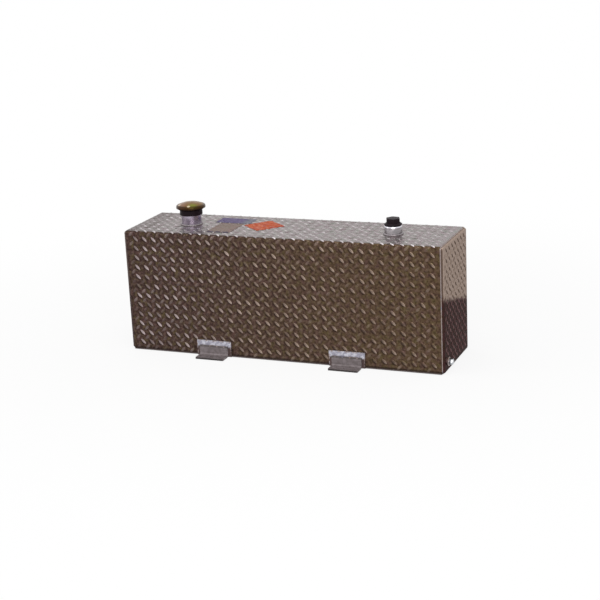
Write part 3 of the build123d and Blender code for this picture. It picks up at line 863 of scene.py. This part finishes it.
def beadPiece(name, corner, outward, upward, legs, arc, closed=True):
    # a bead along a line of corner points. Its section is an arc of an ellipse with the two
    # legs as half axes, closed by the corner itself, sunk a little into the joint. The arc
    # swells as 1 + ripple * (1 - (2 frac(s / pitch + bow m^2) - 1)^2), with s the distance along
    # the bead and m from -1 to 1 across it, and two slow sines of s make it uneven.
    step = np.linalg.norm(np.diff(corner, axis=0, append=corner[:1]), axis=1)
    distance = np.concatenate([[0], np.cumsum(step[:-1])])[:, None]
    turn = np.radians(np.linspace(arc[0], arc[1], bead["section"]))[None]
    middle = (turn - turn.mean()) / (turn.max() - turn.mean())
    phase = (distance / bead["pitch"] + bead["bow"] * middle ** 2) % 1
    swell = 1 + bead["ripple"] * (1 - (2 * phase - 1) ** 2)
    unevenness = 1 + 0.05 * np.sin(distance * 210) + 0.04 * np.sin(distance * 467 + 1)
    size = swell * unevenness * (0.86 + 0.14 * (1 - middle ** 2))
    if not closed:
        fromEnd = np.minimum(distance, distance.max() - distance)
        size = size * np.sqrt(np.clip(fromEnd / bead["taper"], 0.08, 1))
    u = legs[0] * np.cos(turn) * size
    v = legs[1] * np.sin(turn) * size
    curve = corner[:, None] + outward[:, None] * u[..., None] + upward[:, None] * v[..., None]
    root = corner - bead["sink"] * (outward * math.cos(turn.mean()) + upward * math.sin(turn.mean()))
    points = np.concatenate([curve, root[:, None]], 1)
    rows, columns = points.shape[:2]
    faces = [gridFaces(rows, columns, closed, True)]
    if not closed:
        faces.append(np.arange(columns)[None])
        faces.append(((rows - 1) * columns + np.arange(columns))[None])
    tidyShell(makePiece(name, points.reshape(-1, 3), faces, "weld_bead", replaced=[name]))


def beadStations(length):
    return max(8, int(length / bead["pitch"] * bead["perRipple"]))


def ringBead(name, place, radius, legs, axis="Z"):
    angle = np.linspace(0, 2 * math.pi, beadStations(2 * math.pi * radius), endpoint=False)
    outward = np.stack([np.cos(angle), np.sin(angle), np.zeros_like(angle)], -1)
    upward = np.tile([0.0, 0.0, 1.0], (len(angle), 1))
    if axis == "X":
        outward = outward[:, [2, 1, 0]]
        upward = upward[:, [2, 1, 0]]
    beadPiece(name, np.asarray(place) + outward * radius, outward, upward, legs, (0, 90))


def pathBead(name, line, closed, outwardOf, upward, legs, arc=(0, 90)):
    # points spread evenly along a line of straight runs and rounded corners
    line = np.asarray(line, float)
    ends = np.concatenate([line, line[:1]]) if closed else line
    total = np.concatenate([[0], np.cumsum(np.linalg.norm(np.diff(ends, axis=0), axis=1))])
    at = np.linspace(0, total[-1], beadStations(total[-1]), endpoint=not closed)
    corner = np.stack([np.interp(at, total, ends[:, k]) for k in range(3)], -1)
    ahead = np.roll(corner, -1, 0) - np.roll(corner, 1, 0)
    if not closed:
        ahead[0] = corner[1] - corner[0]
        ahead[-1] = corner[-1] - corner[-2]
    ahead /= np.linalg.norm(ahead, axis=1, keepdims=True)
    up = np.tile(np.asarray(upward, float), (len(corner), 1))
    beadPiece(name, corner, np.cross(ahead, up) * outwardOf, up, legs, arc, closed)


def endBead(side, sign):
    # round the end pan, against the wrapper's and the bottom plate's edges
    inset = tank["sheet"] + bead["end"]["inset"]
    half, low, high = tank["face"] - inset, inset, tank["height"] - inset
    x = sign * tank["wrapperEnd"]
    loop = [(x, -half, low), (x, half, low), (x, half, high), (x, -half, high)]
    legs = (sign * bead["end"]["legs"][0], bead["end"]["legs"][1])
    pathBead(f"end_weld_{side}", roundCorners(loop, bead["end"]["corner"], 6), True, 1,
             (sign, 0, 0), legs)


def sideBeads(side, sign):
    # the seam along the bottom plate, and each foot's pad and bracket
    outward, face = (0, sign, 0), sign * tank["face"]
    y, z = sign * (tank["face"] - bead["seam"]["inset"]), bead["seam"]["height"]
    seam = [(-tank["wrapperEnd"], y, z), (tank["wrapperEnd"], y, z)]
    pathBead(f"bottom_weld_{side}", seam, False, 1, outward, bead["seam"]["legs"], (0, 180))
    for tag in (f"{side}_left", f"{side}_right"):
        low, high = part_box(f"pad_{tag}")
        start = bead["pad"]["foot"]
        line = [(low.x, face, start), (low.x, face, high.z), (high.x, face, high.z),
                (high.x, face, start)]
        pathBead(f"pad_weld_{tag}", line, False, sign, outward, bead["pad"]["legs"])
        low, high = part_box(f"bracket_{tag}")
        padFace, inset = face + sign * boxSize(f"pad_{tag}").y, bead["bracket"]["inset"]
        line = [(low.x + inset, padFace, high.z), (high.x - inset, padFace, high.z)]
        pathBead(f"bracket_weld_{tag}", line, False, -sign, outward, bead["bracket"]["legs"])


for name, values in rings.items():
    ringBead(name, **values)
endBead("right", 1)
endBead("left", -1)
sideBeads("front", -1)
sideBeads("back", 1)
print("weld beads laid")


# Label films, pressed down over the lugs

def lugHeightAt(x, y):
    # height of the lugs above the top sheet, as the highest of all lugs near the point, each
    # taken as h exp(-1.2 t^4 - 1.6 s^2) with t along it and s across it
    bend = tank["bend"]
    up = y + tank["face"] - bend + tank["height"] - bend + bend * math.pi / 2
    away = np.stack([x, up], -1).reshape(-1, 1, 2) - lugPlaces[None]
    near = np.any(np.abs(away).max(-1) < 0.02, 0)
    away, lean = away[:, near], lugLean[near]
    angle = np.radians(lug["lean"]) * lean
    t = (away[..., 0] * np.cos(angle) + away[..., 1] * np.sin(angle)) / (lug["length"] / 2)
    s = (away[..., 1] * np.cos(angle) - away[..., 0] * np.sin(angle)) / (lug["width"] * 0.72)
    ridge = np.exp(-np.abs(t) ** 4 * 1.2 - s ** 2 * 1.6)
    return lug["height"] * ridge.max(1).reshape(x.shape)


def labelPiece(node, size, turn):
    # a thin sheet on a grid, its corners rounded by drawing points in by 0.012 |a b|^12, with a
    # and b from -1 to 1 over it; its top follows the lugs below it, and a second grid closes it
    columns, rows = (int(side / film["step"]) + 1 for side in size)
    across, along = np.meshgrid(np.linspace(-1, 1, columns), np.linspace(-1, 1, rows))
    pull = 1 - 0.012 * (np.abs(across) * np.abs(along)) ** 12
    a = across * pull * size[0] / 2
    b = along * pull * size[1] / 2
    angle, middle = math.radians(turn), boxCentre(node)
    x = middle.x + a * math.cos(angle) - b * math.sin(angle)
    y = middle.y + a * math.sin(angle) + b * math.cos(angle)
    z = tank["height"] + film["lift"] + lugHeightAt(x, y)
    upper = np.stack([x, y, z], -1).reshape(-1, 3)
    under = upper - [0, 0, film["thickness"]]
    quads = gridFaces(rows, columns)
    grid = np.arange(len(upper)).reshape(rows, columns)
    edge = np.concatenate([grid[0], grid[1:, -1], grid[-1, -2::-1], grid[-2:0:-1, 0]])
    following = np.roll(edge, -1)
    rim = np.stack([edge, edge + grid.size, following + grid.size, following], -1)
    faces = [quads, quads[:, ::-1] + grid.size, rim]
    tidyShell(makePiece(node + "_film", np.concatenate([upper, under]), faces, slotOf[node],
                        replaced=[node]))


for node, label in labels.items():
    labelPiece(node, label["size"], label["turn"])
print("labels laid")


# Filler cap, pump port and drain as turned pieces with real threads. Each outline is a list of
# (radius, height), with small roundings at its corners

cover = {"radius": 0.0545, "sheet": 0.0015, "lip": 0.009, "crown": 0.0125, "roll": 0.003}
coupling = {"radius": 0.031, "bore": 0.023, "tail": 0.012, "chamfer": 0.0015, "ease": 0.0006,
            "pitch": 0.00221, "depth": 0.0011, "rows": (0.001, 0.0015), "threaded": (0.002, 0.0015)}
bung = {"radius": 0.013, "bore": 0.008, "tail": 0.010, "chamfer": 0.0007, "ease": 0.0002,
        "pitch": 0.001337, "depth": 0.00085, "rows": (0.0008, 0.0008), "threaded": (0.001, 0.001),
        "reach": 0.006}
plug = {"flange": 0.032, "flangeHigh": 0.0035, "shoulder": 0.0255, "shoulderRise": 0.0045,
        "flats": 0.046, "hexHigh": 0.016, "turn": -7.5, "spigot": 0.0226, "spigotLength": 0.022,
        "wall": 0.0035, "pitch": 0.00221, "depth": 0.0011, "sharpness": 26.0}
drain = {"seat": 0.0078, "spigot": 0.0077, "spigotLength": 0.014, "flats": 0.019,
         "hexHigh": 0.0095, "pitch": 0.001337, "depth": 0.00085, "sharpness": 40.0}


def threadRows(radius, low, high, pitch):
    heights = np.arange(low, high, pitch / 8)
    return np.stack([np.full_like(heights, radius), heights], -1)


def capCover():
    # the dome's height falls from the crown as the square of the radius; inside the same
    # form is drawn in by the sheet's thickness
    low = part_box("cap_cover")[0].z - tank["height"]
    radius, roll = cover["radius"], cover["roll"]
    rim = low + cover["lip"]
    r = np.linspace(0, radius - roll, 18)
    dome = rim + cover["crown"] * (1 - (r / radius) ** 2)
    turn = np.radians(np.linspace(62, 0, 6))
    shoulder = np.stack([radius - roll + roll * np.cos(turn), rim - roll + roll * np.sin(turn)], -1)
    skirt = [(radius, low + 0.0016), (radius + 0.0004, low + 0.0009), (radius, low)]
    inside = radius - cover["sheet"]
    inner = [(inside, low), (inside, rim - roll)]
    ceiling = np.stack([r[::-1] * inside / radius, dome[::-1] - cover["sheet"]], -1)
    outline = np.concatenate([np.stack([r, dome], -1), shoulder, skirt, inner, ceiling])
    turnedPiece("cap_cover_dome", outline, fillerPlace, "gold_plate", columns=128,
                body="filler_cap", replaced=["cap_cover"])


def boredPiece(node, values, high, place, axis="Z"):
    # a boss from inside the sheet to a height above it, with eased rims and a thread whose
    # crests lie at the bore's radius
    low = -tank["sheet"] - values["tail"]
    bore, outer, cut, ease = (values[key] for key in ("bore", "radius", "chamfer", "ease"))
    rows, threaded = values["rows"], values["threaded"]
    wall = threadRows(bore, low + rows[0], high - rows[1], values["pitch"])[::-1]
    outside = [(outer, low), (outer, high - cut), (outer - ease, high - ease), (outer - cut, high),
               (bore + cut, high)]
    thread = (bore, low + threaded[0], high - threaded[1], values["pitch"], -values["depth"])
    turnedPiece(node + "_turned", np.concatenate([outside, wall, [(bore, low)]]), place,
                "machined_aluminium", axis, thread=thread, crisp=35, replaced=[node])


def pumpPlug():
    # hexagon, shoulder, flange and hollow threaded spigot in one moulding
    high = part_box("pump_plug")[1].z - tank["height"]
    seat = high - plug["hexHigh"] - plug["shoulderRise"] - plug["flangeHigh"]
    low, flangeTop = seat - plug["spigotLength"], seat + plug["flangeHigh"]
    hexLow = flangeTop + plug["shoulderRise"]
    hexTop = hexLow + plug["hexHigh"]
    apothem, radius = plug["flats"] / 2, plug["spigot"]
    hollow, flange, shoulder = radius - plug["wall"], plug["flange"], plug["shoulder"]
    outline = np.concatenate([
        [(0, flangeTop), (hollow, flangeTop), (hollow, low + 0.0006), (hollow + 0.0006, low),
         (radius - 0.0012, low)],
        threadRows(radius, low + 0.0005, seat - 0.001, plug["pitch"]),
        [(radius, seat), (flange - 0.0004, seat), (flange, seat + 0.0006),
         (flange, flangeTop - 0.001), (flange - 0.0008, flangeTop),
         (shoulder + 0.0004, hexLow - 0.0004), (shoulder, hexLow - 0.00005),
         (apothem, hexLow + 0.00005), (apothem, hexLow + 0.0008), (apothem, hexTop - 0.0018),
         (apothem - 0.0004, hexTop - 0.0008), (apothem - 0.0014, hexTop - 0.0001),
         (apothem - 0.0026, hexTop), (apothem - 0.008, hexTop), (0, hexTop)]])
    turnedPiece("pump_plug_moulded", outline, pumpPlace, "black_moulding", columns=144, crisp=40,
                thread=(radius, low + 0.001, seat - 0.001, plug["pitch"], plug["depth"]),
                hexagon=(hexLow, hexTop + 0.001, plug["turn"] + 30, plug["sharpness"]),
                body="pump_plug", replaced=["pump_plug"])


def drainPlug():
    # a hexagon head with a rounded rim on a threaded spigot
    seat, apothem, radius = drain["seat"], drain["flats"] / 2, drain["spigot"]
    low, high = seat - drain["spigotLength"], seat + drain["hexHigh"]
    outline = np.concatenate([
        [(0, low), (radius - 0.001, low)],
        threadRows(radius, low + 0.0008, seat - 0.0004, drain["pitch"]),
        [(radius, seat), (apothem - 0.0006, seat + 0.00002), (apothem, seat + 0.0005),
         (apothem, high - 0.0016), (apothem - 0.0003, high - 0.0008),
         (apothem - 0.001, high - 0.0002), (apothem - 0.002, high), (apothem - 0.005, high),
         (0, high)]])
    turnedPiece("drain_plug_turned", outline, drainPlace, "zinc_steel", "X", crisp=40,
                thread=(radius, low + 0.001, seat - 0.0006, drain["pitch"], drain["depth"]),
                hexagon=(seat, high + 0.001, 0.0, drain["sharpness"]),
                body="drain_plug", replaced=["drain_plug"])


capCover()
boredPiece("pump_coupling", coupling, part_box("pump_coupling")[1].z - tank["height"], pumpPlace)
pumpPlug()
boredPiece("drain_bung", bung, bung["reach"], drainPlace, "X")
drainPlug()
print("cap, port and drain made")


# Floor, lamps and camera

stage = {"floor": 60.0, "floorColour": (0.93, 0.93, 0.93, 1.0), "floorSink": 0.0004,
         "worldLight": 0.62, "whiteNear": 0.86, "nearRadius": 0.7, "farRadius": 2.4}
lamps = {
    "key": {"azimuth": 24, "elevation": 30, "distance": 4.5, "size": (2.6, 1.8), "share": 0.30},
    "overhead": {"azimuth": -20, "elevation": 78, "distance": 4.0, "size": (2.5, 2.5), "share": 0.16},
    "fill": {"azimuth": -60, "elevation": 25, "distance": 5.0, "size": (2.5, 2.5), "share": 0.08},
}
view = {"azimuth": 22.521, "elevation": 16.503, "roll": -2.749, "distance": 5.3372,
        "right": 0.01652, "up": -0.04079, "lens": 87.356}
tankMiddle = Vector((0, 0, tank["height"] / 2))


def awayTo(azimuth, elevation):
    # the direction from the tank, with azimuth 0 at the front
    a, e = math.radians(azimuth), math.radians(elevation)
    return Vector((math.sin(a) * math.cos(e), -math.cos(a) * math.cos(e), math.sin(e)))


def addLamp(name, azimuth, elevation, distance, size, share):
    # share is the part of plain white light that it gives a surface facing it
    away = awayTo(azimuth, elevation)
    data = bpy.data.lights.new(name, "AREA")
    data.shape = "RECTANGLE"
    data.size, data.size_y = size
    data.energy = share * math.pi ** 2 * distance ** 2
    made = addObject(name, data)
    made.location = tankMiddle + away * distance
    made.rotation_mode = "QUATERNION"
    made.rotation_quaternion = away.to_track_quat("Z", "Y")


def seenRays(tree):
    # 1 for rays from the camera and for reflected and refracted ones
    rays = addNode(tree, "LightPath").outputs
    indirect = maths(tree, "MAXIMUM", rays["Is Glossy Ray"], rays["Is Transmission Ray"])
    return maths(tree, "MAXIMUM", rays["Is Camera Ray"], indirect)


def makeFloor():
    # the floor keeps part of its own shading near the tank and turns plain white further out
    material, tree, shader = newMaterial("floor", stage["floorColour"], 0.0, 0.9)
    shader.inputs["Specular IOR Level"].default_value = 0.1
    place = addNode(tree, "TexCoord").outputs["Object"]
    away = addNode(tree, "VectorMath", {0: place}, operation="LENGTH").outputs["Value"]
    white = rise(tree, away, stage["nearRadius"], stage["farRadius"], stage["whiteNear"], 1.0)
    glow = addNode(tree, "Emission", {"Color": (1.0, 1.0, 1.0, 1.0), "Strength": 1.0})
    mixed = addNode(tree, "MixShader", {0: maths(tree, "MULTIPLY", white, seenRays(tree)),
                                        1: shader.outputs[0], 2: glow.outputs[0]})
    tree.links.new(mixed.outputs[0], tree.nodes["Material Output"].inputs["Surface"])
    half = stage["floor"] / 2
    mesh = bpy.data.meshes.new("floor")
    mesh.from_pydata([(-half, -half, 0), (half, -half, 0), (half, half, 0), (-half, half, 0)], [],
                     [(0, 1, 2, 3)])
    mesh.materials.append(material)
    floor = addObject("floor", mesh)
    floor.location.z = -stage["floorSink"]


def makeWorld():
    world = bpy.data.worlds.new("studio")
    bpy.context.scene.world = world
    world.use_nodes = True
    tree = world.node_tree
    background = tree.nodes["Background"]
    background.inputs["Color"].default_value = (1.0, 1.0, 1.0, 1.0)
    strength = rise(tree, seenRays(tree), 0.0, 1.0, stage["worldLight"], 1.0)
    tree.links.new(strength, background.inputs["Strength"])


def placeCamera():
    # right and up move the camera sideways without turning it
    back, r = awayTo(view["azimuth"], view["elevation"]), math.radians(view["roll"])
    right = (-back).cross(Vector((0, 0, 1))).normalized()
    up = right.cross(-back)
    cameraRight = right * math.cos(r) + up * math.sin(r)
    cameraUp = up * math.cos(r) - right * math.sin(r)
    place = tankMiddle + back * view["distance"] + right * view["right"] + up * view["up"]
    data = bpy.data.cameras.new("camera")
    data.lens = view["lens"]
    data.sensor_width = 36.0
    camera = addObject("camera", data)
    turned = Matrix((cameraRight, cameraUp, back)).transposed().to_4x4()
    camera.matrix_world = Matrix.Translation(place) @ turned
    bpy.context.scene.camera = camera


for name, values in lamps.items():
    addLamp(name, **values)
makeFloor()
makeWorld()
placeCamera()
bpy.context.scene.view_settings.view_transform = "Standard"
print("stage and camera set")
